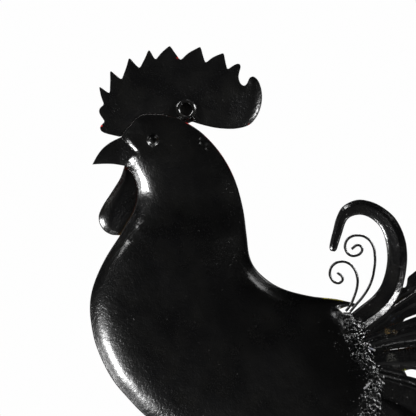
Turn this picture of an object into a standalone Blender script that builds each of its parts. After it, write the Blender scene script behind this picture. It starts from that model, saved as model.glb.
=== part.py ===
"""A wall rooster of cut, dished and welded sheet steel, hung by rings welded to its back.

X runs from the beak to the tail and Z is up. The back, which faces the wall, looks along -Y,
and the dished sheets bulge towards +Y. The origin is the point inside the head's ring that
bears on the nail. Every outline point is (X, Z), and all lengths are in millimetres.
"""

import math

import bpy
import numpy as np
from mathutils import Vector
from mathutils.geometry import delaunay_2d_cdt

MM = 0.001

# The stock that the rooster is made of, and the gap left where two pieces touch.
SHEET = 1.2
TOUCH = 0.3
RING_MAJOR, RING_WIRE = 8.1, 2.3
CURL_WIRE = 1.35
LEG_ROD = 3.5

# Depths along Y. The head ring's wire is centred on the nail point. The comb lies in front of
# the ring, and the body's rim a step behind the comb's back.
RIM_STEP = 0.5
COMB_BACK = RING_WIRE + TOUCH
PLATE_FRONT = COMB_BACK + SHEET
RIM_FRONT = COMB_BACK - RIM_STEP
# The tail's plates are welded on behind the body's rim, in two layers, and the wires behind both.
TAIL_FRONT = RIM_FRONT - SHEET
LAYER = SHEET + TOUCH
WELD_BACK = TAIL_FRONT - 2 * LAYER
CURL_PLANE = WELD_BACK - TOUCH - CURL_WIRE
# The leg rods lie behind the thighs and the feet.
LEG_PLANE = TAIL_FRONT - LEG_ROD
FOOT_FRONT = TAIL_FRONT + TOUCH + SHEET

# How shiny the enamel is on each kind of stock.
SHEET_ROUGHNESS, WIRE_ROUGHNESS, WELD_ROUGHNESS = 0.4, 0.35, 0.3

# How far apart the points of a smooth outline lie, and those inside a sheet.
BODY_STEP, PLATE_STEP, SICKLE_STEP, WIRE_STEP, WELD_STEP, LEG_STEP = 7, 4.5, 9, 5, 9, 12
BODY_LATTICE, PLATE_LATTICE = 11.5, 10

# The body sheet's outline, clockwise from the top of the beak, one list for each smooth stretch.
CROWN = [(-65, -33.5), (-59.5, -26), (-54.5, -20.5), (-49.5, -14.5), (-43.5, -11.5), (-36, -10.6),
         (-21, -11.8), (-8, -15.3), (2.5, -20)]
BACK = [(2.5, -20), (14.5, -28), (27.8, -41), (37.6, -54), (45.5, -68), (51.8, -84), (57.7, -108),
        (61, -133.5), (64, -154), (72, -168), (92.5, -183.3), (122.5, -192.2), (151.5, -195.8),
        (170, -200.5)]
TONGUE = [(170, -200.5), (169, -203), (161, -203.3), (153.2, -206)]
REAR = [(153.2, -206), (157, -209.5), (164, -219), (171, -231.5), (181, -247.5), (191, -262.5),
        (196, -277), (194.5, -293), (190, -311), (182, -327), (166, -341), (144, -350)]
REAR_THIGH = [(144, -350), (127, -360), (119.5, -377), (112, -396), (104, -400), (95.5, -391),
              (87, -371), (78.5, -362)]
FRONT_THIGH = [(78.5, -362), (73.5, -371), (66.5, -389), (59, -396.5), (51, -391), (43.5, -370.5),
               (36, -355.5)]
BREAST = [(36, -355.5), (19, -346.5), (-11, -333), (-41.3, -312), (-61.7, -291), (-71.7, -279),
          (-80.7, -264), (-88.3, -247), (-92.7, -233), (-96.2, -210), (-95.5, -193.4),
          (-90.7, -176), (-80.5, -154.4), (-66.3, -132)]
THROAT = [(-66.3, -132), (-59, -119.5), (-53.5, -110.5), (-50, -100.5), (-48.5, -88.5), (-50, -78),
          (-55, -68), (-61.8, -62.3)]
BEAK_SEAT = [(-61.8, -62.3), (-54.5, -46.5), (-65, -33.5)]
# How deep the body would be dished if it were endless, and how far from the rim it curls up.
BODY_DEPTH, BODY_CURL = 34, 36

# The eye, a punched dent. Each ring of its points is (share of its radius, number of points).
EYE, EYE_RADIUS, EYE_DEPTH = (-33.2, -36.2), 6.4, 3.2
EYE_RINGS = [(0, 1), (0.45, 6), (0.8, 12), (1, 16), (1.45, 16)]

# The comb: its front lobes, its teeth from front to back, and its rear lobe.
COMB_CHIN = [(-65, -33.5), (-79.5, -30.1), (-84.5, -27.9), (-86.4, -24.5), (-84.8, -21.3), (-81.3, -18)]
COMB_LOBE = [(-81.3, -18), (-86.1, -11), (-87.3, -7.5), (-85.8, -3.8), (-82.2, -1)]
# Each tooth is its tip, the valley behind it, and how far its front edge swells.
COMB_TEETH = [((-86.8, 16.6), (-76.5, 10.3), 0.8), ((-75.6, 32.2), (-64.5, 24.2), 0),
              ((-56.7, 44.8), (-46.5, 35.5), 0), ((-37.2, 53), (-30.5, 44), 0),
              ((-16.3, 57.8), (-5.5, 43.6), 1), ((14.3, 56.4), (19.5, 40.9), 1.8),
              ((37.4, 50.2), (41.5, 34.3), 1.6)]
# How far each tip is cut back along its edges, and how far the cut is flattened.
TIP_ROUND, TIP_BLUNT = 1.3, 0.3
COMB_LAST_TOOTH = [(41.5, 34.3), (49, 39.2), (53.4, 40.3), (54.9, 37.5), (52.7, 27.5), (54.6, 20.5),
                   (58, 17.6), (60.6, 19.8), (63.5, 26)]
COMB_REAR = [(63.5, 26), (67, 27.6), (72.5, 23), (76.1, 11), (75.4, -1.5), (71.5, -12), (64.2, -20.8),
             (55.5, -24.2), (45.5, -25.4), (30.5, -24.4), (18, -21.7), (5.5, -18)]
# How steeply the comb is dished, and the radius around the ring where it is flat, then ramps up.
COMB_SLOPE, COMB_FLAT, COMB_RAMP = 0.34, 12, 26

BEAK_TOP = [(-65, -33.5), (-75, -38.4), (-83.5, -45), (-89.5, -53), (-93.7, -61)]
BEAK_BOTTOM = [(-93.7, -61), (-83, -60.4), (-72.5, -60.6), (-61.8, -62.3)]
BEAK_SLOPE = 0.35
WATTLE_EDGE = [(-61.8, -62.3), (-65.8, -74), (-75, -89), (-83.9, -103), (-87.6, -112.5), (-87, -119),
               (-84, -125), (-80, -128.8), (-74.5, -131.4), (-66.3, -132)]
WATTLE_SLOPE = 0.75

# The sickle feather: (X, Z) of its middle line with its half width, from the root to the tip.
SICKLE = [(167, -222.5, 10.3), (173.5, -217, 10.7), (181.3, -210.9, 10.9), (191.8, -202.8, 11),
          (199.5, -194.5, 11), (205.2, -184.8, 10.8), (208.8, -172.8, 10.3), (211.2, -156, 10.1),
          (210, -140, 10), (206.7, -128.7, 9.4), (201.4, -118.9, 8.8), (193, -110.9, 8.1),
          (182.8, -105.4, 7.7), (171.9, -103.8, 7.6), (160.7, -108.2, 6.6), (155.2, -116.1, 5.3),
          (151.3, -129, 4.8), (148.7, -138, 4.5), (147, -145.3, 3.8), (146.6, -147.8, 2)]
# How deep it is dished, the stations that stay flat at its root, and those over which it opens.
SICKLE_DEPTH, SICKLE_FLAT, SICKLE_RAMP = 4.2, 4, 5
SICKLE_ACROSS = (1, 0.6, 0, -0.6, -1)

# The two wires: (X, Z) points from the weld at the tail to the curled end.
UPPER_CURL = [(164, -208), (169.6, -201.3), (176.6, -193), (184, -180.5), (188, -165), (188.6, -152),
              (186.2, -141), (180, -134), (172, -131.8), (164.3, -133.5), (159.3, -139.5), (159.8, -147),
              (163.9, -151.5), (169.5, -152), (174.5, -149.3), (175.8, -144.8), (172.2, -141.5),
              (165.3, -145.4)]
LOWER_CURL = [(159.5, -207.5), (163.6, -202.3), (168.3, -192), (171.2, -181), (171, -173.5),
              (167.5, -164.5), (161.5, -159.2), (154.8, -158), (148, -160.6), (143.9, -167),
              (144.9, -174.5), (149.6, -179), (154.6, -178.6), (156.4, -174.5), (151.2, -168.8)]

# The fan: the root of each feather, its heading there and at its tip in degrees above +X, its
# length, its greatest half width, and its layer, where 0 lies against the body's rim.
FEATHERS = [((176.5, -236), 47, -14, 215, 32, 0), ((177.5, -246), 20.5, -26, 222, 31, 1),
            ((186, -258.5), 5, -40, 210, 28, 0), ((190.5, -276.7), -13, -56, 198, 29, 1),
            ((190, -293), -33, -74, 176, 29, 0), ((186, -311), -57, -94, 150, 26, 1)]
# Its width at the root as a share of the greatest, and where along it that is reached and lost.
FEATHER_ROOT, FEATHER_WIDEST, FEATHER_TIP = 0.36, 0.6, 0.55
# The steps cut into its edges: how many, the share of each that widens, and how deep each is cut.
FEATHER_BARBS, BARB_SHARE, BARB_CUT = 9, 0.88, 0.2
# The ridge along its middle, how far layer 0 stands out in front, and the share over which both rise.
RIDGE, FAN_SPREAD, FAN_RAMP = 2.4, 3.1, 0.3
LINE_PIECES = 200

# The weld that joins the tail to the body: (X, Z) with its half width and its height.
TAIL_WELD = [(157, -212.5, 6, 2.5), (162, -219, 9.5, 4), (169.5, -232, 11, 4.6), (179, -246, 11.5, 4.8),
             (189, -260, 12, 5), (195.5, -275, 12.5, 5.2), (194, -291, 13.5, 5.4), (189.5, -306, 12.5, 5),
             (183.5, -321, 9.5, 4), (178.5, -331, 4, 2)]
# Its section: (share of the half width, share of the height). Past WELD_TURN it follows the dish.
WELD_PROFILE = [(1, 0), (0.8, 0.6), (0.3, 1), (-0.3, 1), (-0.75, 0.6), (-1, 0), (-0.6, 0)]
WELD_TURN, WELD_LUMP = -0.6, 0.16

# Where the second ring bears on its nail, behind the top feather.
TAIL_NAIL = (258, -177.5)

# Each leg is its hip and how far forward its ankle stands.
LEGS = {"front": ((59, -368), -15), "rear": ((104, -372), 13)}
HOCK_DROP, HOCK_BACK, HOCK_STRIDE = 52, 5, 0.4
ANKLE_DROP = 98
# Each toe is (heading in degrees above +X, reach from the ankle), clockwise from the spur.
TOES = [(-24, 24), (-104, 30), (-137, 45), (-172, 44)]
TOE_WEB, TOE_HALF, TOE_WIDEST = 9, 3.2, 0.6
SHANK_TOP, SHANK_BOTTOM, SHANK_HALF, FOOT_SLOPE = 18, 2, 4.5, 0.3


def clear_scene():
    for thing in list(bpy.data.objects):
        bpy.data.objects.remove(thing)


def black_enamel(name, roughness):
    made = bpy.data.materials.new(name)
    made.use_nodes = True
    shader = made.node_tree.nodes["Principled BSDF"]
    shader.inputs["Base Color"].default_value = (0.012, 0.012, 0.013, 1)
    shader.inputs["Roughness"].default_value = roughness
    shader.inputs["Metallic"].default_value = 0
    return made


def add_object(name, data, roughness):
    made = bpy.data.objects.new(name, data)
    bpy.context.scene.collection.objects.link(made)
    data.materials.append(black_enamel(name, roughness))
    return made


def smooth(points, step):
    """Points about every step along one smooth curve through the given ones, both ends kept."""
    knots = np.asarray(points, float)
    runs = np.linalg.norm(np.diff(knots, axis=0), axis=1)
    headings = [(knots[1] - knots[0]) / runs[0]]
    for i in range(1, len(knots) - 1):
        headings.append((knots[i + 1] - knots[i - 1]) / (runs[i] + runs[i - 1]))
    headings.append((knots[-1] - knots[-2]) / runs[-1])
    line = [knots[0]]
    for i, run in enumerate(runs):
        count = max(1, round(run / step))
        for t in np.arange(1, count + 1) / count:
            share = t * t * (3 - 2 * t)
            bend = headings[i] * t * (1 - t) ** 2 - headings[i + 1] * t * t * (1 - t)
            line.append(knots[i] * (1 - share) + knots[i + 1] * share + bend * run)
    return [tuple(float(c) for c in p) for p in line]


def loop_of(*stretches):
    """One closed outline from stretches that each start where the last one ended."""
    return [p for stretch in stretches for p in stretch[:-1]]


def body_outline():
    smooth_stretches = (CROWN, BACK, TONGUE, REAR, REAR_THIGH, FRONT_THIGH, BREAST, THROAT)
    return loop_of(*[smooth(s, BODY_STEP) for s in smooth_stretches], *beak_seat())


def beak_seat():
    """The straight-sided notch where the beak is welded into the head."""
    return smooth(BEAK_SEAT[:2], BODY_STEP), smooth(BEAK_SEAT[1:], BODY_STEP)


def soft_distance(points, outline):
    """How far each point lies inside the outline, softened so that it has no creases.

    It is pi over the sum, for every straight piece of the outline, of the angle that the piece
    fills as seen from the point, divided by the point's distance from that piece's line.
    """
    p = np.asarray(points, float)[:, None, :]
    a = np.asarray(outline, float)
    b = np.roll(a, -1, axis=0)
    along = (b - a) / np.linalg.norm(b - a, axis=1)[:, None]
    near, far = ((a - p) * along).sum(2), ((b - p) * along).sum(2)
    away = np.abs((a - p)[:, :, 0] * along[:, 1] - (a - p)[:, :, 1] * along[:, 0]) + 1e-6
    angle = np.arctan(far / away) - np.arctan(near / away)
    return math.pi / (angle / away).sum(1)


def body_front(points):
    """Y of the body sheet's front face, without the eye: steep at the rim and flatter inside."""
    return RIM_FRONT + BODY_DEPTH * (1 - np.exp(-soft_distance(points, body_outline()) / BODY_CURL))


def clear_inside(point, edge, margin):
    """Whether the point lies inside the edge and further than margin from it."""
    run = np.roll(edge, -1, axis=0) - edge
    crosses = (edge[:, 1] > point[1]) != (edge[:, 1] + run[:, 1] > point[1])
    rise = (point[1] - edge[crosses, 1]) / run[crosses, 1]
    if (edge[crosses, 0] + rise * run[crosses, 0] > point[0]).sum() % 2 == 0:
        return False
    share = np.clip(((point - edge) * run).sum(1) / (run * run).sum(1), 0, 1)
    return np.linalg.norm(edge + run * share[:, None] - point, axis=1).min() > margin


def thick_sheet(name, points, faces):
    """A steel sheet from its front face's (X, Y, Z) points, with its thickness behind them."""
    mesh = bpy.data.meshes.new(name)
    mesh.from_pydata([tuple(c * MM for c in p) for p in points], [], faces)
    if sum(p.normal.y for p in mesh.polygons) < 0:
        mesh.flip_normals()
    wall = add_object(name, mesh, SHEET_ROUGHNESS).modifiers.new("sheet thickness", "SOLIDIFY")
    wall.thickness = SHEET * MM
    wall.offset = -1


def pressed_sheet(name, outline, lattice, depth, extra=()):
    """A sheet cut to the outline and pressed to depth(points), which is Y on its front face.

    Its inner points lie on a lattice of equal triangles, and any extra ones are added to them.
    """
    edge = np.asarray(outline, float)
    low, high = edge.min(0), edge.max(0)
    inside = list(extra)
    for row, z in enumerate(np.arange(low[1], high[1], lattice * math.sqrt(3) / 2)):
        for x in np.arange(low[0] + row % 2 * lattice / 2, high[0], lattice):
            crowded = any(math.dist((x, z), q) < lattice / 2 for q in extra)
            if not crowded and clear_inside((x, z), edge, lattice / 2):
                inside.append((x, z))
    rim = [(i, (i + 1) % len(outline)) for i in range(len(outline))]
    flat = [Vector(p) for p in outline + inside]
    places, _, faces, *_ = delaunay_2d_cdt(flat, rim, [list(range(len(outline)))], 1, 1e-5)
    places = np.array([tuple(p) for p in places])
    points = np.column_stack((places[:, 0], depth(places), places[:, 1]))
    thick_sheet(name, points.tolist(), faces)


def build_body():
    """Head, neck, body and thighs: one sheet, dished towards the front, with the eye punched in."""
    ring_points = [(EYE[0] + share * EYE_RADIUS * math.cos(2 * math.pi * k / n),
                    EYE[1] + share * EYE_RADIUS * math.sin(2 * math.pi * k / n))
                   for share, n in EYE_RINGS for k in range(n)]

    def depth(points):
        radius = np.linalg.norm(points - EYE, axis=1) / EYE_RADIUS
        return body_front(points) + EYE_DEPTH * np.sqrt(np.clip(1 - radius**2, 0, 1))

    pressed_sheet("body_shell", body_outline(), BODY_LATTICE, depth, ring_points)


def tooth_edge():
    """The comb's toothed edge, each tooth rising along a swelling front edge to a blunted tip."""
    line, valley = [], Vector(COMB_LOBE[-1])
    for tip, next_valley, swell in COMB_TEETH:
        tip, next_valley = Vector(tip), Vector(next_valley)
        rise, fall = (tip - valley).normalized(), (next_valley - tip).normalized()
        line.append(valley)
        if swell:
            line.append((valley + tip) / 2 + Vector((-rise.y, rise.x)) * swell)
        front, rear = tip - rise * TIP_ROUND, tip + fall * TIP_ROUND
        line += [front, tip.lerp((front + rear) / 2, TIP_BLUNT), rear]
        valley = next_valley
    return [tuple(p) for p in line + [valley]]


def build_comb():
    """The comb: a toothed plate, flat where the ring is welded on and lightly dished elsewhere.

    Its lower edge follows the head just in front of the body's rim.
    """
    outline = loop_of(smooth(COMB_CHIN, PLATE_STEP), smooth(COMB_LOBE, PLATE_STEP), tooth_edge(),
                      smooth(COMB_LAST_TOOTH, PLATE_STEP), smooth(COMB_REAR, PLATE_STEP),
                      [COMB_REAR[-1], CROWN[-1]], smooth(CROWN, BODY_STEP)[::-1])
    ring_centre = np.array((0, RING_WIRE - RING_MAJOR))

    def depth(points):
        ramp = np.clip((np.linalg.norm(points - ring_centre, axis=1) - COMB_FLAT) / COMB_RAMP, 0, 1)
        return PLATE_FRONT + COMB_SLOPE * ramp**2 * (3 - 2 * ramp) * soft_distance(points, outline)

    pressed_sheet("comb", outline, PLATE_LATTICE, depth)


def build_plate(name, outline, front, slope):
    """A plate that swells from its edge towards the front."""
    pressed_sheet(name, outline, PLATE_LATTICE,
                  lambda points: front + slope * soft_distance(points, outline))


def build_beak():
    """The beak, set in the notch of the head."""
    outline = loop_of(smooth(BEAK_TOP, PLATE_STEP), smooth(BEAK_BOTTOM, PLATE_STEP), *beak_seat())
    build_plate("beak", outline, PLATE_FRONT, BEAK_SLOPE)


def build_wattle():
    """The wattle: a deep drop whose rear edge follows the throat just in front of the rim."""
    outline = loop_of(smooth(WATTLE_EDGE, PLATE_STEP), smooth(THROAT, BODY_STEP))
    build_plate("wattle", outline, PLATE_FRONT, WATTLE_SLOPE)


def side_of(stations, i):
    """The (X, Z) direction across a line of stations at station i, pointing to its left."""
    before, after = stations[max(i - 1, 0)], stations[min(i + 1, len(stations) - 1)]
    run = Vector((after[0] - before[0], after[1] - before[1])).normalized()
    return Vector((-run.y, run.x))


def strip(name, stations, across, depth):
    """A sheet lofted along (X, Z, half width) stations.

    across holds the shares of the half width where its points lie, and depth(station number,
    share) is Y on its front face.
    """
    points, faces = [], []
    for i, (x, z, half) in enumerate(stations):
        side = side_of(stations, i) * half
        points += [(x + v * side.x, depth(i, v), z + v * side.y) for v in across]
    for i in range(len(stations) - 1):
        for j in range(len(across) - 1):
            a = i * len(across) + j
            faces.append((a, a + 1, a + len(across) + 1, a + len(across)))
    thick_sheet(name, points, faces)


def build_sickle():
    """The big curled feather: a tapering channel, hollow towards the wall."""
    stations = smooth(SICKLE, SICKLE_STEP)
    widest = max(half for _, _, half in stations)

    def depth(i, v):
        opened = min(1, max(0, i - SICKLE_FLAT) / SICKLE_RAMP) * stations[i][2] / widest
        return TAIL_FRONT - LAYER + SICKLE_DEPTH * opened * (1 - v * v)

    strip("sickle_feather", stations, SICKLE_ACROSS, depth)


def feather_stations(root, heading, tip_heading, length, half):
    """The fan feather's stations: a bending line whose edges are cut into steps towards the tip."""
    shares = []
    for k in range(FEATHER_BARBS):
        shares += [k / FEATHER_BARBS, (k + BARB_SHARE) / FEATHER_BARBS]
    shares.append(1.0)
    bends = np.radians(heading + (tip_heading - heading) * np.linspace(0, 1, LINE_PIECES))
    pieces = np.column_stack((np.cos(bends), np.sin(bends))) * length / LINE_PIECES
    line = np.array(root) + np.vstack(((0, 0), np.cumsum(pieces, axis=0)))
    stations = []
    for n, share in enumerate(shares):
        x, z = line[round(share * LINE_PIECES)].tolist()
        rise = min(1, share / FEATHER_WIDEST)
        width = half * (FEATHER_ROOT + (1 - FEATHER_ROOT) * rise * rise * (3 - 2 * rise))
        width *= math.sqrt(1 - (max(0, share - FEATHER_TIP) / (1.01 - FEATHER_TIP)) ** 2)
        if n % 2 == 0 and n > 0:
            width *= 1 - BARB_CUT
        stations.append((x, z, width))
    return stations


def build_feather(number, line, layer):
    """One feather of the fan, ridged along its middle and stepped along its edges."""
    stations = feather_stations(*line)

    def depth(i, v):
        opened = min(1, i / (len(stations) - 1) / FAN_RAMP)
        front = TAIL_FRONT + (FAN_SPREAD * opened if layer == 0 else -LAYER)
        return front + RIDGE * opened * (1 - abs(v))

    strip(f"tail_feather_{number}", stations, (1, 0, -1), depth)


def rod(name, points, plane, radius, resolution, roughness):
    """A round rod along (X, Z) points in one plane."""
    curve = bpy.data.curves.new(name, "CURVE")
    curve.dimensions = "3D"
    curve.bevel_depth = radius * MM
    curve.bevel_resolution = resolution
    curve.use_fill_caps = True
    spline = curve.splines.new("POLY")
    spline.points.add(len(points) - 1)
    for place, (x, z) in zip(spline.points, points):
        place.co = (x * MM, plane * MM, z * MM, 1)
    add_object(name, curve, roughness)


def build_curl(name, points):
    """One of the two curled wires."""
    rod(name, smooth(points, WIRE_STEP), CURL_PLANE, CURL_WIRE, 1, WIRE_ROUGHNESS)


def build_ring(name, x, y, z):
    """A wire ring that faces the wall. (x, y, z) is the point inside it that bears on its nail."""
    centre = (x * MM, y * MM, (z - RING_MAJOR + RING_WIRE) * MM)
    bpy.ops.mesh.primitive_torus_add(major_radius=RING_MAJOR * MM, minor_radius=RING_WIRE * MM,
                                     major_segments=24, minor_segments=8,
                                     location=centre, rotation=(math.pi / 2, 0, 0))
    made = bpy.context.object
    made.name = name
    made.data.materials.append(black_enamel(name, WIRE_ROUGHNESS))


def tail_ring_plane():
    """Y of the second ring's plane: its wire touches the top feather on both sides of the ridge."""
    reach = RING_MAJOR + RING_WIRE
    top_feather = feather_stations(*FEATHERS[0][:-1])
    narrowest = min(half for x, _, half in top_feather if abs(x - TAIL_NAIL[0]) < 2 * reach)
    ridge = RIDGE * (1 - reach / narrowest)
    return TAIL_FRONT + FAN_SPREAD + ridge - SHEET - TOUCH - RING_WIRE


def build_weld():
    """The tail's weld: a lumpy mound over the feathers' roots that runs down onto the body's dish."""
    stations = smooth(TAIL_WELD, WELD_STEP)
    points, faces = [], []
    for i, (x, z, half, height) in enumerate(stations):
        side = side_of(stations, i) * half
        lump = 1 + WELD_LUMP * (-1) ** i
        for v, rise in WELD_PROFILE:
            place = (x + v * side.x, z + v * side.y)
            back = WELD_BACK
            if v < WELD_TURN:
                back = max(back, float(body_front([place])[0]) - 2 * SHEET)
            points.append((place[0] * MM, (back - rise * height * lump) * MM, place[1] * MM))
    n = len(WELD_PROFILE)
    for i in range(len(stations) - 1):
        for j in range(n):
            a, b = i * n + j, i * n + (j + 1) % n
            faces.append((a, b, b + n, a + n))
    faces += [tuple(range(n))[::-1], tuple(range(len(points) - n, len(points)))]
    mesh = bpy.data.meshes.new("tail_weld")
    mesh.from_pydata(points, [], faces)
    add_object("tail_weld", mesh, WELD_ROUGHNESS)


def ankle_of(hip, stride):
    return hip[0] + stride, hip[1] - ANKLE_DROP


def build_leg(side, hip, stride):
    """A leg rod from inside the thigh to the ankle, bent a little back at the hock."""
    hock = (hip[0] + HOCK_STRIDE * stride + HOCK_BACK, hip[1] - HOCK_DROP)
    line = smooth([hip, hock, ankle_of(hip, stride)], LEG_STEP)
    rod(f"{side}_leg", line, LEG_PLANE, LEG_ROD, 2, WIRE_ROUGHNESS)


def build_foot(side, ankle):
    """A foot: a plate cut out as four toes, with a short shank that the leg is welded to."""
    def at(heading, reach):
        angle = math.radians(heading)
        return ankle[0] + reach * math.cos(angle), ankle[1] + reach * math.sin(angle)

    webs = [(ankle[0] + SHANK_HALF, ankle[1] + SHANK_BOTTOM)]
    webs += [at((a + b) / 2, TOE_WEB) for (a, _), (b, _) in zip(TOES, TOES[1:])]
    webs += [(ankle[0] - SHANK_HALF, ankle[1] + SHANK_BOTTOM)]
    outline = [(ankle[0] + way * SHANK_HALF, ankle[1] + SHANK_TOP) for way in (-1, 1)]
    for number, (heading, reach) in enumerate(TOES):
        swell = math.degrees(TOE_HALF / (TOE_WIDEST * reach))
        tip = at(heading, reach)
        upper, lower = at(heading + swell, TOE_WIDEST * reach), at(heading - swell, TOE_WIDEST * reach)
        outline += loop_of(smooth([webs[number], upper, tip], LEG_STEP),
                           smooth([tip, lower, webs[number + 1]], LEG_STEP))
    outline.append(webs[-1])
    build_plate(f"{side}_foot", outline, FOOT_FRONT, FOOT_SLOPE)


def main():
    clear_scene()
    build_body()
    build_comb()
    build_beak()
    build_wattle()
    build_sickle()
    for number, (*line, layer) in enumerate(FEATHERS, 1):
        build_feather(number, line, layer)
    build_curl("upper_curl", UPPER_CURL)
    build_curl("lower_curl", LOWER_CURL)
    build_ring("hanging_ring", 0, 0, 0)
    build_ring("tail_ring", TAIL_NAIL[0], tail_ring_plane(), TAIL_NAIL[1])
    build_weld()
    for side, (hip, stride) in LEGS.items():
        build_leg(side, hip, stride)
        build_foot(side, ankle_of(hip, stride))


main()
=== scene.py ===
# %% [markdown]
# # A wall rooster of dished and welded sheet steel
#
# The real thing is cut from thin sheet, hammered hollow, welded together at the back and sprayed
# black there. The camera looks at that black back. Bright paint is kept for the side that faces
# the room, and shows from here only as slivers along the edges.
#
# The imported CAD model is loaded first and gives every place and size. It has few faces, so each
# of its pieces is made again with a finer mesh that follows the same outline and the same dish.

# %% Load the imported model
import math
import random

import bmesh
import bpy
import numpy as np
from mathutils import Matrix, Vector
from mathutils.bvhtree import BVHTree


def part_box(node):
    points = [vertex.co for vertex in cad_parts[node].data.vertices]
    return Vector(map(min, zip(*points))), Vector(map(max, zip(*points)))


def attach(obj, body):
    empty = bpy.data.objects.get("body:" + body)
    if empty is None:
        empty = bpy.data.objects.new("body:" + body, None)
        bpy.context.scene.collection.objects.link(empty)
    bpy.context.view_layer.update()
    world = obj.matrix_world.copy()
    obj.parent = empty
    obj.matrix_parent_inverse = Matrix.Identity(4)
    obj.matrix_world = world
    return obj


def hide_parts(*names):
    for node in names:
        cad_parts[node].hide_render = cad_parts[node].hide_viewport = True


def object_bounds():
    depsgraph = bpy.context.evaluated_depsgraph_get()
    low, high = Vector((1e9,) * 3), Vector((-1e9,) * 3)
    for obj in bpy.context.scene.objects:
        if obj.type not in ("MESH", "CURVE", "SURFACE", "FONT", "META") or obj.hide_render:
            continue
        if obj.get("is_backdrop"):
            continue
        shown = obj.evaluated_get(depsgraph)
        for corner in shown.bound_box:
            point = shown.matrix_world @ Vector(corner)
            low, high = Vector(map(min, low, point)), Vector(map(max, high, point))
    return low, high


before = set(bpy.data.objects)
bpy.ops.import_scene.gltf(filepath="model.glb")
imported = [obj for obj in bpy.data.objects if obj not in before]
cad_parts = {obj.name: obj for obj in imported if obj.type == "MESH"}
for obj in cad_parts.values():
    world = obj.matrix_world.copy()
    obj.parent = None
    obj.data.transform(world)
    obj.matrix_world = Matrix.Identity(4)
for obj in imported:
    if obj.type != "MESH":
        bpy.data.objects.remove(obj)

cad_low, cad_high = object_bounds()
sides = [round((b - a) * 1000) for a, b in zip(cad_low, cad_high)]
print("CAD nodes:", len(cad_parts), "and box in mm:", sides)

# %% [markdown]
# ## Camera
#
# The photograph is taken square on from well back, so its lines hardly converge. A camera could be
# moved by eye until the outlines agree. Here its place is worked out instead: one pixel is one
# millimetre at the plane of the head's ring, and the lens follows from that and the distance.

# %% Camera
MM = 0.001
CAMERA_AWAY = 2.4
PICTURE_X, PICTURE_Z, PICTURE_WIDTH = 0.022, -0.1045, 0.416
SENSOR = 36
bpy.ops.object.select_all(action="DESELECT")
bpy.ops.object.camera_add(location=(PICTURE_X, -CAMERA_AWAY, PICTURE_Z),
                          rotation=(math.pi / 2, 0, 0))
camera = bpy.context.object
camera.data.sensor_width = SENSOR
camera.data.lens = SENSOR * CAMERA_AWAY / PICTURE_WIDTH
bpy.context.scene.camera = camera
print("lens", round(camera.data.lens, 1), "mm")

# %% [markdown]
# ## Light
#
# Black gloss shows its lights and little else, so each light is placed for its reflection. Six
# softboxes stand on the camera's side. A hollow facing them answers on its far wall, so the large
# one to the right lights the breast and throat, the one to the left the rear of the comb, and four
# weaker ones fill in below, above and between. Two more behind light the painted front. Lamps
# without a size would leave hard dots on the gloss. The background is white for the camera alone,
# because a white world would grey the enamel all over.

# %% Softboxes
MIDDLE = Vector((0.06, 0, -0.22))
# Name, direction from the rooster, distance, width and height in metres, and power in watts.
SOFTBOXES = [("key_right", (0.8, -0.42, 0.4), 1.5, 0.48, 0.58, 52),
             ("key_left", (-0.74, -0.42, 0.52), 1.5, 0.24, 0.45, 16.5),
             ("low_right", (0.66, -0.42, -0.61), 1.5, 0.2, 0.2, 4),
             ("low_left", (-0.64, -0.22, -0.74), 1.2, 0.42, 0.42, 3.2),
             ("upper_left", (-0.57, -0.42, 0.71), 1.5, 0.2, 0.2, 5.5),
             ("top", (0.1, -0.42, 0.9), 1.5, 0.4, 0.12, 1.3),
             ("room_front", (0.3, 1, 0.5), 1.8, 1.2, 1.2, 45),
             ("room_side", (-0.7, 0.9, 0.2), 1.8, 0.8, 0.8, 18)]


def softbox(name, towards, distance, width, height, power):
    """A rectangular area light in that direction from the rooster, aimed at its middle."""
    place = MIDDLE + Vector(towards).normalized() * distance
    turn = (MIDDLE - place).to_track_quat("-Z", "Y").to_euler()
    bpy.ops.object.light_add(type="AREA", location=place, rotation=turn)
    lamp = bpy.context.object
    lamp.name = name
    lamp.data.shape = "RECTANGLE"
    lamp.data.size, lamp.data.size_y = width, height
    lamp.data.energy = power
    lamp.visible_camera = False
    print(name, [round(c, 2) for c in place])


for line in SOFTBOXES:
    softbox(*line)

# %% White world
WHITE, DIM_ROOM = (0.99, 0.99, 0.99, 1), 0.028
world = bpy.data.worlds.new("white_studio")
bpy.context.scene.world = world
world.use_nodes = True
sky = world.node_tree
backdrop = sky.nodes["Background"]
backdrop.inputs["Color"].default_value = WHITE
dim_room = sky.nodes.new("ShaderNodeBackground")
dim_room.inputs["Color"].default_value = (1, 1, 1, 1)
dim_room.inputs["Strength"].default_value = DIM_ROOM
seen_by = sky.nodes.new("ShaderNodeLightPath")
choice = sky.nodes.new("ShaderNodeMixShader")
sky.links.new(seen_by.outputs["Is Camera Ray"], choice.inputs[0])
sky.links.new(dim_room.outputs[0], choice.inputs[1])
sky.links.new(backdrop.outputs[0], choice.inputs[2])
sky.links.new(choice.outputs[0], sky.nodes["World Output"].inputs["Surface"])
bpy.context.scene.view_settings.view_transform = "Standard"
print("world:", world.name)

# %% [markdown]
# ## Materials
#
# Each material is a small tree of noise textures on Object coordinates, in metres. Painted pictures
# would need unwrapping and blur close up, and noise does neither. A few helpers keep the trees
# short: one adds a node with its inputs, the others name the usual building bricks.

# %% Helpers for materials


def add_node(tree, kind, inputs=(), **choices):
    """Adds a node. choices set its options, and inputs hold a number or an output per socket."""
    made = tree.nodes.new("ShaderNode" + kind)
    for key, value in choices.items():
        setattr(made, key, value)
    for socket, value in dict(inputs).items():
        if isinstance(value, bpy.types.NodeSocket):
            tree.links.new(value, made.inputs[socket])
        else:
            made.inputs[socket].default_value = value
    return made


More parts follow.
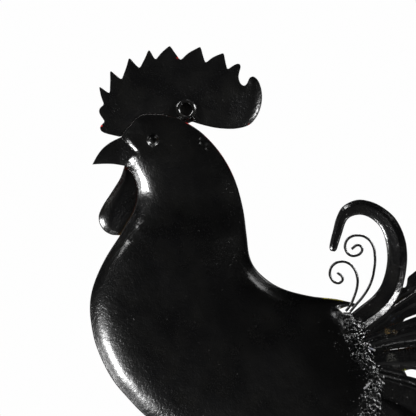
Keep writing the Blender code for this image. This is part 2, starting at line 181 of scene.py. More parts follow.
def noise(tree, place, scale, detail=3.0, rough=0.5):
    """Cloudy noise from about 0.3 to 0.7, with scale features to the metre."""
    sockets = {"Vector": place, "Scale": scale, "Detail": detail, "Roughness": rough}
    return add_node(tree, "TexNoise", sockets).outputs["Fac"]


def stretch(tree, value, low, high, new_low=0.0, new_high=1.0):
    """Maps low..high to new_low..new_high and holds it there."""
    sockets = {"Value": value, "From Min": low, "From Max": high,
               "To Min": new_low, "To Max": new_high}
    return add_node(tree, "MapRange", sockets, clamp=True).outputs["Result"]


def mixed(tree, share, first, second):
    """A blend of two colours."""
    return add_node(tree, "Mix", {0: share, 6: first, 7: second}, data_type="RGBA").outputs[2]


def calculate(tree, what, first, second=0.0):
    """One step of arithmetic on two values."""
    return add_node(tree, "Math", {0: first, 1: second}, operation=what).outputs[0]


def new_material(name):
    """A new material, with its tree, its Object coordinates and its shader."""
    made = bpy.data.materials.new(name)
    made.use_nodes = True
    tree = made.node_tree
    place = add_node(tree, "TexCoord").outputs["Object"]
    return made, tree, place, tree.nodes["Principled BSDF"]


def bumps(tree, layers):
    """Stacks (height, distance) layers into one bumped normal."""
    normal = None
    for height, distance in layers:
        sockets = {"Height": height, "Distance": distance, "Strength": 1.0}
        if normal:
            sockets["Normal"] = normal
        normal = add_node(tree, "Bump", sockets).outputs["Normal"]
    return normal


print("helpers for materials are ready")

# %% [markdown]
# ## Black enamel
#
# The back is sprayed with a satin black enamel, straight over bare hammered steel. Sprayed paint
# dries with a fine orange peel and picks up dust, so a highlight on it breaks into grains. One
# roughness value would give a plain plastic sheen. So the grain is a bump of a few millimetres and
# less, the gloss drifts slowly over the sheet, and a few pale specks of dust are mixed in. A
# smoother clear coat on top gives the small bright sparks in the middle of each highlight.

# %% Black enamel
DUST = (0.09, 0.09, 0.085, 1)
COAT_ROUGHNESS = 0.175


def dabbed(tree, place, colour, dabs):
    """The colour with ragged dabs of paint over it, at (x, z, reach, paint) places in metres."""
    ragged = stretch(tree, noise(tree, place, 700, 3), 0.46, 0.6)
    level = add_node(tree, "VectorMath", {0: place, 1: (1, 0, 1)}, operation="MULTIPLY").outputs[0]
    for x, z, reach, paint in dabs:
        away = add_node(tree, "VectorMath", {0: level, 1: (x, 0, z)}, operation="DISTANCE")
        share = stretch(tree, calculate(tree, "DIVIDE", away.outputs["Value"], reach), 1.0, 0.7)
        colour = mixed(tree, calculate(tree, "MULTIPLY", share, ragged), colour, (*paint, 1))
    return colour


def black_enamel(name, shade, dull, glossy, grain, dust, coat=0.0, dabs=()):
    """Black paint of uneven roughness, cloudy and dusty, under a smoother coat of that weight."""
    made, tree, place, shader = new_material(name)
    drift = noise(tree, place, 22, 4)
    fine = noise(tree, place, 650, 2)
    cloud = stretch(tree, noise(tree, place, 42, 4, 0.6), 0.42, 0.66)
    dark = (shade * 0.6, shade * 0.6, shade * 0.7, 1)
    pale = (shade * 1.7, shade * 1.65, shade * 1.5, 1)
    colour = mixed(tree, cloud, dark, pale)
    cells = add_node(tree, "TexVoronoi", {"Vector": place, "Scale": 210}).outputs
    at_middle = stretch(tree, cells["Distance"], 0.14, 0.09)
    in_few = stretch(tree, cells["Color"], 0.81, 0.83)
    speck = calculate(tree, "MULTIPLY", at_middle, in_few)
    colour = mixed(tree, calculate(tree, "MULTIPLY", speck, dust), colour, DUST)
    tree.links.new(dabbed(tree, place, colour, dabs), shader.inputs["Base Color"])
    uneven = calculate(tree, "ADD", drift, calculate(tree, "MULTIPLY", fine, 0.35))
    tree.links.new(stretch(tree, uneven, 0.42, 0.9, glossy, dull), shader.inputs["Roughness"])
    peel = noise(tree, place, 240, 2)
    pimples = stretch(tree, noise(tree, place, 430, 1), 0.58, 0.7)
    layers = [(peel, 0.00028 * grain), (fine, 0.00022 * grain), (pimples, 0.00007 * grain)]
    tree.links.new(bumps(tree, layers), shader.inputs["Normal"])
    shader.inputs["Specular IOR Level"].default_value = 0.5 - 0.25 * coat
    shader.inputs["Coat Weight"].default_value = coat
    shader.inputs["Coat Roughness"].default_value = COAT_ROUGHNESS
    layers = [(peel, 0.00012 * grain), (fine, 0.00005 * grain)]
    tree.links.new(bumps(tree, layers), shader.inputs["Coat Normal"])
    return made


# Dabs of colour on the tail's black: (x, z, reach, paint), in metres. The first five are stray
# paint from the front, and the last two are pale grey patches that lighten the black.
TAIL_DABS = [(0.2015, -0.228, 0.0034, (0.05, 0.032, 0.01)),
             (0.2085, -0.2285, 0.003, (0.03, 0.02, 0.008)),
             (0.206, -0.215, 0.004, (0.009, 0.011, 0.015)),
             (0.213, -0.211, 0.003, (0.007, 0.011, 0.017)),
             (0.219, -0.2665, 0.0014, (0.12, 0.13, 0.015)),
             (0.2055, -0.2555, 0.0065, (0.016, 0.016, 0.014)),
             (0.2095, -0.2615, 0.004, (0.014, 0.014, 0.013))]
STRAY_RED = [(-0.0853, -0.0215, 0.0022, (0.4, 0.01, 0.008)),
             (0.0637, -0.0207, 0.0016, (0.3, 0.01, 0.008)),
             (-0.0088, 0.0458, 0.0016, (0.25, 0.01, 0.008))]
SHEET_BLACK = black_enamel("black_enamel_sheet", 0.001, 0.34, 0.24, 1.1, 0.22, 0.55, STRAY_RED)
TAIL_BLACK = black_enamel("black_enamel_tail", 0.001, 0.28, 0.18, 1.2, 0.8, 0.3, TAIL_DABS)
SICKLE_BLACK = black_enamel("black_enamel_sickle", 0.0016, 0.26, 0.16, 0.9, 0.5, 0.6)
WIRE_BLACK = black_enamel("black_enamel_wire", 0.002, 0.3, 0.2, 0.8, 0.2)
RING_BLACK = black_enamel("black_enamel_ring", 0.003, 0.2, 0.15, 0.2, 0.3)
WELD_BLACK = black_enamel("black_enamel_weld", 0.001, 0.42, 0.12, 0.8, 0.1)
# Pale grey enamel for the wire ends: a painted highlight, for the bright lines that they show.
WIRE_END_HIGHLIGHT = black_enamel("wire_end_painted_highlight", 0.12, 0.3, 0.2, 0.5, 0.1)
print("enamels:", SHEET_BLACK.name, TAIL_BLACK.name, SICKLE_BLACK.name, WIRE_BLACK.name,
      RING_BLACK.name, WELD_BLACK.name, WIRE_END_HIGHLIGHT.name)

# %% [markdown]
# ## Front paints and painted edges
#
# The room side is airbrushed in warm colours that run into each other. Painting it by hand would
# need a picture. Here a colour ramp follows the height or a slanted line over the rooster, pushed
# about by noise, so no edge of colour is straight. On the sheet's cut edge the black overspray and
# the front's colour meet in patches, which is what shows as thin slivers of colour from the back.

# %% Front paints and edges


def front_paint(name, direction, start, end, stops, wander=0.25):
    """Airbrushed colours along a direction, from start to end in metres along it."""
    made, tree, place, shader = new_material(name)
    along = add_node(tree, "VectorMath", {0: place, 1: direction}, operation="DOT_PRODUCT")
    share = stretch(tree, along.outputs["Value"], start, end)
    cloud = stretch(tree, noise(tree, place, 26, 4), 0.3, 0.7, -wander, wander)
    ramp = add_node(tree, "ValToRGB", {"Fac": calculate(tree, "ADD", share, cloud)})
    while len(ramp.color_ramp.elements) < len(stops):
        ramp.color_ramp.elements.new(1)
    for element, (where, colour) in zip(ramp.color_ramp.elements, stops):
        element.position = where
        element.color = (*colour, 1)
    dabs = stretch(tree, noise(tree, place, 130, 5, 0.7), 0.42, 0.6)
    paint = ramp.outputs["Color"]
    darker = add_node(tree, "HueSaturation", {"Color": paint, "Value": 0.45}).outputs["Color"]
    dabbed_paint = mixed(tree, calculate(tree, "MULTIPLY", dabs, 0.55), paint, darker)
    tree.links.new(dabbed_paint, shader.inputs["Base Color"])
    gloss = stretch(tree, noise(tree, place, 60), 0.3, 0.7, 0.3, 0.48)
    tree.links.new(gloss, shader.inputs["Roughness"])
    tree.links.new(bumps(tree, [(noise(tree, place, 300, 3), 0.0003)]), shader.inputs["Normal"])
    return made


def painted_edge(name, dabs, gloss=0.07):
    """A black cut edge, with the front's colour at (x, z, reach, paint) places in metres."""
    made, tree, place, shader = new_material(name)
    grime = mixed(tree, noise(tree, place, 90), (0.002, 0.002, 0.002, 1), (0.006, 0.006, 0.006, 1))
    tree.links.new(dabbed(tree, place, grime, dabs), shader.inputs["Base Color"])
    shader.inputs["Roughness"].default_value = 0.5
    shader.inputs["Specular IOR Level"].default_value = gloss
    tree.links.new(bumps(tree, [(noise(tree, place, 500, 2), 0.0002)]), shader.inputs["Normal"])
    return made


RED, ORANGE, GOLD = (0.42, 0.012, 0.008), (0.62, 0.13, 0.012), (0.72, 0.36, 0.03)
GREEN, TEAL, BLUE = (0.09, 0.2, 0.02), (0.01, 0.13, 0.12), (0.012, 0.03, 0.16)
BODY_PAINT = front_paint("body_paint", (0.25, 0, -1), 0.0, 0.38,
                         [(0.0, RED), (0.3, ORANGE), (0.5, GOLD), (0.72, GREEN), (0.9, TEAL)])
COMB_PAINT = front_paint("comb_paint", (0, 0, 1), -0.03, 0.06,
                         [(0.0, (0.22, 0.004, 0.004)), (0.7, RED)])
BEAK_PAINT = front_paint("beak_paint", (-1, 0, 0), 0.05, 0.1,
                         [(0.0, GOLD), (1.0, (0.5, 0.2, 0.02))])
TAIL_PAINT = front_paint("tail_paint", (1, 0, 0), 0.17, 0.4,
                         [(0.0, GOLD), (0.25, ORANGE), (0.5, GREEN), (0.75, TEAL), (1.0, BLUE)])
SICKLE_PAINT = front_paint("sickle_paint", (0, 0, 1), -0.23, -0.1,
                           [(0.0, GOLD), (0.4, GREEN), (0.8, TEAL)])
LEG_PAINT = front_paint("leg_paint", (0, 0, -1), 0.36, 0.5,
                        [(0.0, GOLD), (1.0, (0.55, 0.24, 0.03))])
BODY_EDGE = painted_edge("body_edge", [(0.031, -0.052, 0.032, (0.07, 0.002, 0.002)),
                                       (0.0035, -0.0195, 0.0045, (0.5, 0.01, 0.01)),
                                       (0.148, -0.197, 0.013, (0.2, 0.17, 0.02))])
COMB_EDGE = painted_edge("comb_edge", [(-0.086, -0.024, 0.005, (0.4, 0.01, 0.008)),
                                       (-0.0695, 0.03, 0.004, (0.2, 0.01, 0.01))])
TAIL_EDGE = painted_edge("tail_edge", [(0.219, -0.267, 0.006, (0.2, 0.2, 0.03)),
                                       (0.206, -0.229, 0.006, (0.3, 0.15, 0.02))])
LEG_EDGE = painted_edge("leg_edge", [])
# Painted shade: a black finish with almost no gloss, put in the fan's grooves for the shadow lines
# where the strips overlap.
GROOVE_SHADE = painted_edge("painted_groove_shade", [], 0.02)
print("front paints and edges are ready")

# %% [markdown]
# ## From a CAD sheet to a fine one
#
# Every plate is made alike. Its outline is read from the CAD node and smoothed, a grid of small
# quads is laid over it and cut to it, and the band between the two is filled. The flat blank is
# then pressed: each point is moved to the depth that the dish has there. Drawing the blank as one
# n-gon and subdividing it would pucker along the rim, and sculpting couldn't be repeated.

# %% Read and smooth an outline
MERGED, FRONT_FACING, SHARP_TURN = 1e-5, 0.35, 30


def rim_of(node):
    """The outline of a CAD sheet's front face: its (X, Z) points in mm, in order."""
    mesh = bmesh.new()
    mesh.from_mesh(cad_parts[node].data)
    bmesh.ops.remove_doubles(mesh, verts=mesh.verts, dist=MERGED)
    following = {}
    for edge in mesh.edges:
        loops = [loop for loop in edge.link_loops if loop.face.normal.y > FRONT_FACING]
        if len(loops) == 1:
            following[loops[0].vert] = loops[0].link_loop_next.vert
    start = next(iter(following))
    points, vert = [], start
    while not points or vert != start:
        points.append((vert.co.x / MM, vert.co.z / MM))
        vert = following[vert]
    mesh.free()
    return np.array(points)


def smooth_rim(points, step):
    """Points about every step along a smooth closed curve. A lone sharp turn stays sharp."""
    run = np.roll(points, -1, 0) - points
    length = np.linalg.norm(run, axis=1)
    heading = run / length[:, None]
    turn = np.degrees(np.arccos(np.clip((heading * np.roll(heading, 1, 0)).sum(1), -1, 1)))
    beside = np.maximum(np.roll(turn, 1), np.roll(turn, -1))
    corner = (turn > SHARP_TURN) & (turn > 2 * beside)
    through = (run + np.roll(run, 1, 0)) / (length + np.roll(length, 1))[:, None]
    line = []
    for i in range(len(points)):
        j = (i + 1) % len(points)
        leave = heading[i] if corner[i] else through[i]
        arrive = heading[i] if corner[j] else through[j]
        count = max(1, round(length[i] / step))
        for t in np.arange(count) / count:
            share = t * t * (3 - 2 * t)
            bend = leave * t * (1 - t) ** 2 - arrive * t * t * (1 - t)
            line.append(points[i] * (1 - share) + points[j] * share + bend * length[i])
    return np.array(line)


def blunted(line, reach=1.9):
    """A closed line with its corners rounded.

    Blurring alone would pull the tips in, so they are pushed out first by about as much.
    """
    span = np.linalg.norm(np.roll(line, -1, 0) - line, axis=1).mean()
    steps = np.arange(-9, 10)
    weights = np.exp(-((steps * span / reach) ** 2) / 2)

    def soft(points):
        return sum(w * np.roll(points, k, 0) for k, w in zip(steps, weights / weights.sum()))

    return soft(1.7 * line - 0.7 * soft(line))


def nudged(points, place, shift, reach):
    """The points, those near the place moved by shift."""
    share = np.clip(1 - np.linalg.norm(points - place, axis=1) / reach, 0, 1)
    return points + share[:, None] * np.array(shift)


def in_batches(rule, points, size=2000):
    """The rule for all the points, worked out some at a time, which saves memory."""
    return np.concatenate([rule(points[i:i + size]) for i in range(0, len(points), size)])


def inside_by(points, rim):
    """How far each point lies inside the rim, in mm, and below 0 outside it."""
    run = np.roll(rim, -1, 0) - rim

    def rule(some):
        away = some[:, None, :] - rim
        share = np.clip((away * run).sum(2) / (run * run).sum(1), 0, 1)
        near = np.linalg.norm(away - run * share[:, :, None], axis=2).min(1)
        crosses = (away[:, :, 1] < 0) != (away[:, :, 1] - run[:, 1] < 0)
        with np.errstate(divide="ignore", invalid="ignore"):
            beyond = crosses & (run[:, 0] * away[:, :, 1] / run[:, 1] > away[:, :, 0])
        return np.where(beyond.sum(1) % 2, near, -near)

    return in_batches(rule, points)


def soft_distance(points, rim, counts=1):
    """The distance inside the rim without the creases that the plain distance has.

    It is pi over the sum, for each short piece of the rim, of the angle that the piece fills
    as seen from the point, divided by the point's distance from the piece's line. counts has a
    number for each piece: 0 leaves it out, and less than 1 makes the wall there narrow and steep.
    """
    ends = np.roll(rim, -1, 0)
    along = (ends - rim) / np.linalg.norm(ends - rim, axis=1)[:, None]

    def rule(some):
        p = some[:, None, :]
        near, far = ((rim - p) * along).sum(2), ((ends - p) * along).sum(2)
        away = np.abs((rim - p)[:, :, 0] * along[:, 1] - (rim - p)[:, :, 1] * along[:, 0]) + 1e-4
        return math.pi / ((np.arctan(far / away) - np.arctan(near / away)) / away * counts).sum(1)

    return in_batches(rule, points)


print("body outline:", len(smooth_rim(rim_of("body_shell"), 2.5)), "points")

# %% Select and move points


def only(*pieces):
    """Selects these pieces and no others, and makes the first one active."""
    bpy.ops.object.select_all(action="DESELECT")
    for piece in pieces:
        piece.select_set(True)
    bpy.context.view_layer.objects.active = pieces[0]


def places(piece):
    """The piece's points as an array of X, Y, Z rows."""
    flat = np.empty(len(piece.data.vertices) * 3)
    piece.data.vertices.foreach_get("co", flat)
    return flat.reshape(-1, 3)


def put(piece, points):
    """Moves the piece's points to an array of X, Y, Z rows."""
    piece.data.vertices.foreach_set("co", np.ascontiguousarray(points, float).ravel())
    piece.data.update()


def select_points(piece, chosen):
    """Selects points by a list of booleans and goes into edit mode."""
    only(piece)
    bpy.ops.object.mode_set(mode="EDIT")
    bpy.ops.mesh.select_mode(type="VERT")
    bpy.ops.mesh.select_all(action="DESELECT")
    bpy.ops.object.mode_set(mode="OBJECT")
    piece.data.vertices.foreach_set("select", np.ascontiguousarray(chosen, bool))
    bpy.ops.object.mode_set(mode="EDIT")


def drop_pinched_points(piece):
    """Deletes the points where two parts of the cut grid meet in nothing but a corner."""
    while True:
        bpy.ops.object.mode_set(mode="OBJECT")
        mesh = bmesh.new()
        mesh.from_mesh(piece.data)
        pinched = [sum(e.is_boundary for e in v.link_edges) > 2 for v in mesh.verts]
        mesh.free()
        select_points(piece, pinched)
        if not any(pinched):
            return
        bpy.ops.mesh.delete(type="VERT")
        bpy.ops.mesh.select_all(action="SELECT")
        bpy.ops.mesh.delete_loose()


print("point helpers are ready")

# %% Cut a flat blank
RIM_GAP = 0.6


def flat_blank(name, rim, spacing, refine=()):
    """A flat sheet in mm in the plane Y = 0, cut to the rim. refine holds (x, z, radius, cuts)."""
    low, high = rim.min(0), rim.max(0)
    size, middle = high - low, (high + low) / 2
    counts = np.ceil(size / spacing).astype(int)
    bpy.ops.object.select_all(action="DESELECT")
    bpy.ops.mesh.primitive_grid_add(x_subdivisions=int(counts[0]), y_subdivisions=int(counts[1]),
                                    size=1, location=(middle[0], 0, middle[1]),
                                    rotation=(math.pi / 2, 0, 0))
    blank = bpy.context.object
    blank.name = blank.data.name = name
    blank.scale = (size[0], size[1], 1)
    bpy.ops.object.transform_apply(location=True, rotation=True, scale=True)
    select_points(blank, inside_by(places(blank)[:, [0, 2]], rim) < RIM_GAP * spacing)
    bpy.ops.mesh.delete(type="VERT")
    bpy.ops.mesh.select_all(action="SELECT")
    bpy.ops.mesh.delete_loose()
    drop_pinched_points(blank)
    bpy.ops.mesh.select_all(action="DESELECT")
    bpy.ops.mesh.primitive_circle_add(vertices=len(rim), radius=float(size.max()))
    bpy.ops.object.mode_set(mode="OBJECT")
    points = places(blank)
    points[-len(rim):] = np.column_stack((rim[:, 0], np.zeros(len(rim)), rim[:, 1]))
    put(blank, points)
    bpy.ops.object.mode_set(mode="EDIT")
    bpy.ops.mesh.select_mode(type="EDGE")
    bpy.ops.mesh.select_all(action="DESELECT")
    bpy.ops.mesh.select_non_manifold(use_wire=True, use_boundary=True, use_multi_face=False,
                                     use_non_contiguous=False, use_verts=False)
    bpy.ops.mesh.fill(use_beauty=True)
    bpy.ops.object.mode_set(mode="OBJECT")
    for x, z, radius, cuts in refine:
        away = np.hypot(*(places(blank)[:, [0, 2]] - (x, z)).T)
        select_points(blank, away < radius)
        bpy.ops.mesh.subdivide(number_cuts=cuts)
        bpy.ops.object.mode_set(mode="OBJECT")
    only(blank)
    bpy.ops.object.mode_set(mode="EDIT")
    bpy.ops.mesh.select_all(action="SELECT")
    bpy.ops.mesh.normals_make_consistent(inside=False)
    bpy.ops.object.mode_set(mode="OBJECT")
    if sum(p.normal.y for p in blank.data.polygons) < 0:
        blank.data.flip_normals()
    bare = bmesh.new()
    bare.from_mesh(blank.data)
    open_edges = sum(e.is_boundary for e in bare.edges)
    odd_edges = sum(len(e.link_faces) not in (1, 2) for e in bare.edges)
    bare.free()
    print(name, len(blank.data.polygons), "faces,", open_edges, "open edges for", len(rim),
          "rim points,", odd_edges, "odd")
    return blank


print("blanks keep their grid", RIM_GAP, "of its spacing away from the rim")

# %% [markdown]
# ## Press, hammer and thicken
#
# A smith presses the blank hollow, planishes it and dresses its edges. Sculpting brushes could do
# that, but not the same way twice. Pressing here moves the blank's points to their depth. Hammering
# is a stack of Displace modifiers, some for slow waves and some for the overlapping marks of the
# hammer's face, faded out near the rim so that the outline stays true. Solidify gives the sheet
# its 1.2 mm, with the front paint on one face, black enamel on the other and the mixed edge
# between, and a small bevel rounds the cut.

# %% Press, hammer and thicken
SHEET = 1.2
# The material index of the painted shade in the fan's grooves.
GROOVE_SHADE_SLOT = 3
CUT_ANGLE, SMOOTH_ANGLE = math.radians(50), math.radians(40)


def press(piece, depth):
    """Moves a flat blank's points to depth(points), all in mm, then brings the piece to metres."""
    points = places(piece)
    points[:, 1] = depth(points[:, [0, 2]])
    put(piece, points * MM)


def apply_modifiers(piece):
    """Makes the piece's modifiers part of its mesh, in their order."""
    only(piece)
    for modifier in list(piece.modifiers):
        bpy.ops.object.modifier_apply(modifier=modifier.name)


def hammer(piece, rim, marks, fade):
    """Displaces the sheet by marks of (kind, size, height). They and the fade are in mm."""
    weights = np.clip(soft_distance(places(piece)[:, [0, 2]] / MM, rim) / fade, 0, 1)
    inner = piece.vertex_groups.new(name="away_from_rim")
    for i, weight in enumerate(weights):
        inner.add([i], float(weight), "REPLACE")
    for kind, size, height in marks:
        pattern = bpy.data.textures.new(f"{piece.name}_{kind.lower()}", kind)
        pattern.noise_scale = size * MM
        if kind == "VORONOI":
            pattern.distance_metric = "DISTANCE_SQUARED"
        dents = piece.modifiers.new(f"{kind.lower()} marks", "DISPLACE")
        dents.texture = pattern
        dents.direction = "Y"
        dents.texture_coords = "LOCAL"
        dents.mid_level = 0.5
        dents.strength = height * MM
        dents.vertex_group = inner.name
    apply_modifiers(piece)
    piece.vertex_groups.clear()


def thicken(piece, front, back, edge, rounding=0.25):
    """Gives the pressed sheet its thickness, behind its front face, and its finishes.

    Faces with the groove's material index get painted shade on both sides instead: a dull black for
    the shadow lines between overlapping strips.
    """
    # The last two finishes are painted shade, a dull black for the fan's grooves, front and back.
    for finish in (front, back, edge, GROOVE_SHADE, GROOVE_SHADE):
        piece.data.materials.append(finish)
    wall = piece.modifiers.new("sheet", "SOLIDIFY")
    wall.thickness = SHEET * MM
    wall.offset = -1
    wall.material_offset = 1
    wall.material_offset_rim = 2
    cut = piece.modifiers.new("rounded cut", "BEVEL")
    cut.width = rounding * MM
    cut.segments = 2
    cut.angle_limit = CUT_ANGLE
    cut.use_clamp_overlap = False
    apply_modifiers(piece)
    bpy.ops.object.shade_smooth_by_angle(angle=SMOOTH_ANGLE)


def stands_for(piece, slot, *nodes):
    """Puts a finished piece under the root and hides the CAD nodes that it replaces.

    slot is not used.
    """
    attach(piece, "root")
    if nodes:
        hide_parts(*nodes)
    faces = sum(len(p.vertices) - 2 for p in piece.data.polygons)
    print(f"{piece.name}: {faces} triangles")


print("pressing tools are ready")

# %% [markdown]
# ## Body
#
# Head, neck, body and thighs are one sheet, bellied towards the room. A cloth or a brush could give
# such a dish, but here every highlight has its place, so each point's depth is worked out. The wall
# is steep at the rim and levels out inside, which a falling exponential of the soft distance gives.
# Throat, nape and shoulder have walls of their own, blended in by smooth steps. The eye is punched
# in from the back, so the mesh is refined around it first.

# %% Outline of the body
EYE, EYE_RADIUS, EYE_DEPTH = (-33.2, -36.2), 6.4, 3.2
NAPE_MARKS = (18, -40)
NOTCH, CHEEK = (-54.5, -46.5), (-72.5, -44)
body_rim = nudged(smooth_rim(rim_of("body_shell"), 2.5), NOTCH, (2.6, -1.7), 14)
body_rim = nudged(body_rim, (-96.3, -203), (0.06, 0), 40)
body = flat_blank("body_sheet", body_rim, 1.8, [(*EYE, 12, 2), (*NAPE_MARKS, 9, 1)])

# The walls are reckoned from a rim that bridges the beak's notch by way of the cheek. Along the
# tail it counts for less, which makes the wall there narrow and steep.
in_notch = (body_rim[:, 0] < -47) & (body_rim[:, 1] > -60.3) & (body_rim[:, 1] < -33)
wall_rim = np.insert(body_rim[~in_notch], np.flatnonzero(in_notch)[0], CHEEK, axis=0)
middles = (wall_rim + np.roll(wall_rim, -1, 0)) / 2
at_tail = (middles[:, 0] > 156) & (middles[:, 1] < -206) & (middles[:, 1] > -330)
wall_counts = np.where(at_tail, 0.35, 1.0)
print("rim points in the notch:", np.flatnonzero(in_notch))
print("rim pieces at the tail:", at_tail.sum())

# %% Building bricks of a dish


def smooth_step(values, low, high):
    """0 below low, 1 above high, and a smooth rise between them."""
    share = np.clip((values - low) / (high - low), 0, 1)
    return share * share * (3 - 2 * share)


def lesser(first, second, blend):
    """The lesser of two heights, with a rounded crest between them."""
    return -blend * np.logaddexp(-first / blend, -second / blend)


def levels_out(distance, height, reach):
    """A wall that starts steep at the rim and levels out at that height."""
    return height * (1 - np.exp(-distance / reach))


def off_line(points, start, end):
    """The distance of each point from a straight line between two places."""
    start, run = np.array(start), np.subtract(end, start)
    share = np.clip((points - start) @ run / (run @ run), 0, 1)
    return np.linalg.norm(points - start - share[:, None] * run, axis=1)


print("a wall 10 mm high, at its reach:", round(float(levels_out(1, 10, 1)), 1), "mm")

# %% Body sheet
# Walls and belly as (height, reach), slopes as a share, and places as (x, z), all in mm.
RIM_PLANE, WALL, NAPE_WALL, BELLY = 2.1, (11.3, 10.3), (2.4, 11), (18, 52)
THROAT_LIP, THROAT_SLOPE, THROAT_HEIGHT = (1.6, 1.5), 0.35, 3.9
THROAT, THROAT_ACROSS, THROAT_OFFSET, THROAT_SHIFT = (-47, -69), (0.927, 0.375), 76.2, 5
SHOULDER, SHOULDER_SLOPE, SHOULDER_HEIGHT = (78, -184), 0.85, 8.2
BEAK_FOLD, FOLD_DEPTH, FOLD_WIDTH = ((-60.5, -38.6), (-52, -48)), 2.0, 2.6
# Single marks of the hammer: (x, z, reach, depth).
DENTS = [(15.2, -37.2, 2.8, 1.45), (21.2, -42.7, 2.6, 1.3), (-50, -135, 5, 0.4),
         (-57, -137, 4, 0.3), (52, -241, 7, 0.25), (-26, -182, 8, 0.25), (27, -230, 5, 0.2)]


def distance_to(points, place):
    """The distance of each point from one place."""
    return np.hypot(*(points - place).T)


def body_depth(points):
    """The dish: a wall of its own at throat, nape and shoulder, and the same slow belly everywhere.

    Near THROAT the throat's wall follows a straight line instead of the rim.
    """
    soft = soft_distance(points, wall_rim, wall_counts)
    wall = levels_out(soft, *WALL)
    straight = points @ THROAT_ACROSS + THROAT_OFFSET
    near_throat = smooth_step(distance_to(points, THROAT), 34, 16) * smooth_step(soft, 1, 6)
    shift = np.clip(straight - soft, -THROAT_SHIFT, THROAT_SHIFT)
    from_throat = np.maximum(soft + shift * near_throat, 0)
    slope = lesser(THROAT_SLOPE * from_throat, THROAT_HEIGHT, 0.6)
    throat = levels_out(from_throat, *THROAT_LIP) + slope
    nape = levels_out(soft, *NAPE_WALL)
    x, z = points.T
    head = nape + (throat - nape) * smooth_step(-x, -4, 32) * smooth_step(-z, 28, 56)
    shoulder = lesser(SHOULDER_SLOPE * soft, SHOULDER_HEIGHT, 2.2)
    wall += (head - wall) * smooth_step(z, -138, -92)
    wall += (shoulder - wall) * smooth_step(distance_to(points, SHOULDER), 70, 28)
    dish = RIM_PLANE + wall + levels_out(soft, *BELLY)
    dish -= FOLD_DEPTH * np.exp(-((off_line(points, *BEAK_FOLD) / FOLD_WIDTH) ** 2))
    for at_x, at_z, reach, depth in DENTS:
        dish -= depth * np.exp(-((points - (at_x, at_z)) ** 2).sum(1) / reach**2)
    from_eye = distance_to(points, EYE) / EYE_RADIUS
    return dish + EYE_DEPTH * np.clip(1 - from_eye**2, 0, 1) ** 0.7


press(body, body_depth)
hammer(body, body_rim, [("CLOUDS", 55, 1.6), ("VORONOI", 17, 0.3), ("CLOUDS", 9, 0.24)], 14)
thicken(body, BODY_PAINT, SHEET_BLACK, BODY_EDGE, 0.12)
stands_for(body, "body", "body_shell")

# %% [markdown]
# ## Comb, beak and wattle
#
# Three small plates are welded to the head. Each could be modelled from a cube, but they are sheet
# like the body, so they are cut and pressed like it. The comb is lightly dished, flat where the
# ring sits, and cupped deeper in its rear lobe. The beak is nearly flat and bends away where it
# laps over the head's notch. The wattle is a deep drop, steep along its free edge.

# %% Comb
# The tips of the teeth that are drawn out: (x, z), and how far each is moved, in mm.
COMB_TIPS = [((-75.4, 31.9), (-0.5, 1.3)), ((-56.6, 44.5), (-0.4, 1.6)), ((-37.2, 52.7), (0, 1.6)),
             ((-16.3, 57.5), (0, 0.7)), ((14.2, 56.1), (0.2, 1.2)), ((37.3, 49.9), (0.3, 1.1)),
             ((-86.6, 16.3), (-0.5, 0.9))]
TIP_REACH = 9
HEAD_PLATES = 3.8
RING_SEAT = (0, -5.8)
comb_rim = smooth_rim(rim_of("comb"), 0.6)
for tip, shift in COMB_TIPS:
    comb_rim = nudged(comb_rim, tip, shift, TIP_REACH)
comb_rim = blunted(comb_rim)[::2]
comb = flat_blank("comb_plate", comb_rim, 2.2)


def comb_depth(points):
    """Flat around the ring's seat, lightly dished beyond it, and cupped in the rear lobe."""
    soft = soft_distance(points, comb_rim)
    ramp = smooth_step(distance_to(points, RING_SEAT), 12, 38)
    lobe = smooth_step(points[:, 0], 40, 72)
    return HEAD_PLATES + ramp * (levels_out(soft, 2.4, 14) + levels_out(soft, lobe * 4.2, 6))


press(comb, comb_depth)
hammer(comb, comb_rim, [("CLOUDS", 30, 0.4), ("VORONOI", 11, 0.12), ("CLOUDS", 6, 0.1)], 6)
thicken(comb, COMB_PAINT, SHEET_BLACK, COMB_EDGE)
stands_for(comb, "comb", "comb")

# %% Beak
beak_rim = nudged(smooth_rim(rim_of("beak"), 1.6), NOTCH, (3.9, -1.9), 17)
beak = flat_blank("beak_plate", beak_rim, 1.6)


def beak_depth(points):
    """Barely dished, and bent away from the camera where it laps over the notch."""
    return 1.2 + 0.2 * soft_distance(points, beak_rim) + 4.6 * smooth_step(points[:, 0], -70, -48)


press(beak, beak_depth)
hammer(beak, beak_rim, [("CLOUDS", 12, 0.3)], 5)
thicken(beak, BEAK_PAINT, SHEET_BLACK, LEG_EDGE, 0.12)
stands_for(beak, "beak", "beak")

# %% Wattle
wattle_rim = smooth_rim(rim_of("wattle"), 1.8)
wattle = flat_blank("wattle_plate", wattle_rim, 1.7)
throat_side = inside_by(wattle_rim, body_rim) > -0.8


def wattle_depth(points):
    """Steep along the free edge, and rising gently from the throat."""
    free = levels_out(soft_distance(points, wattle_rim, ~throat_side), 9, 9.5)
    throat = 2.6 + 0.13 * soft_distance(points, wattle_rim, throat_side)
    return HEAD_PLATES + lesser(free, throat, 1.1)


press(wattle, wattle_depth)
hammer(wattle, wattle_rim, [("CLOUDS", 16, 0.5)], 5)
thicken(wattle, COMB_PAINT, SHEET_BLACK, COMB_EDGE)
stands_for(wattle, "comb", "wattle")

# %% [markdown]
# ## Sickle feather
#
# The big curled feather is a channel, hollow towards the wall, that opens from its welded root. A
# bevelled curve would give a channel that is alike on both sides. The real one was hammered harder
# along its outer edge, so it is pressed from a blank, with a steep wall there and a gentle one
# from the inner edge.

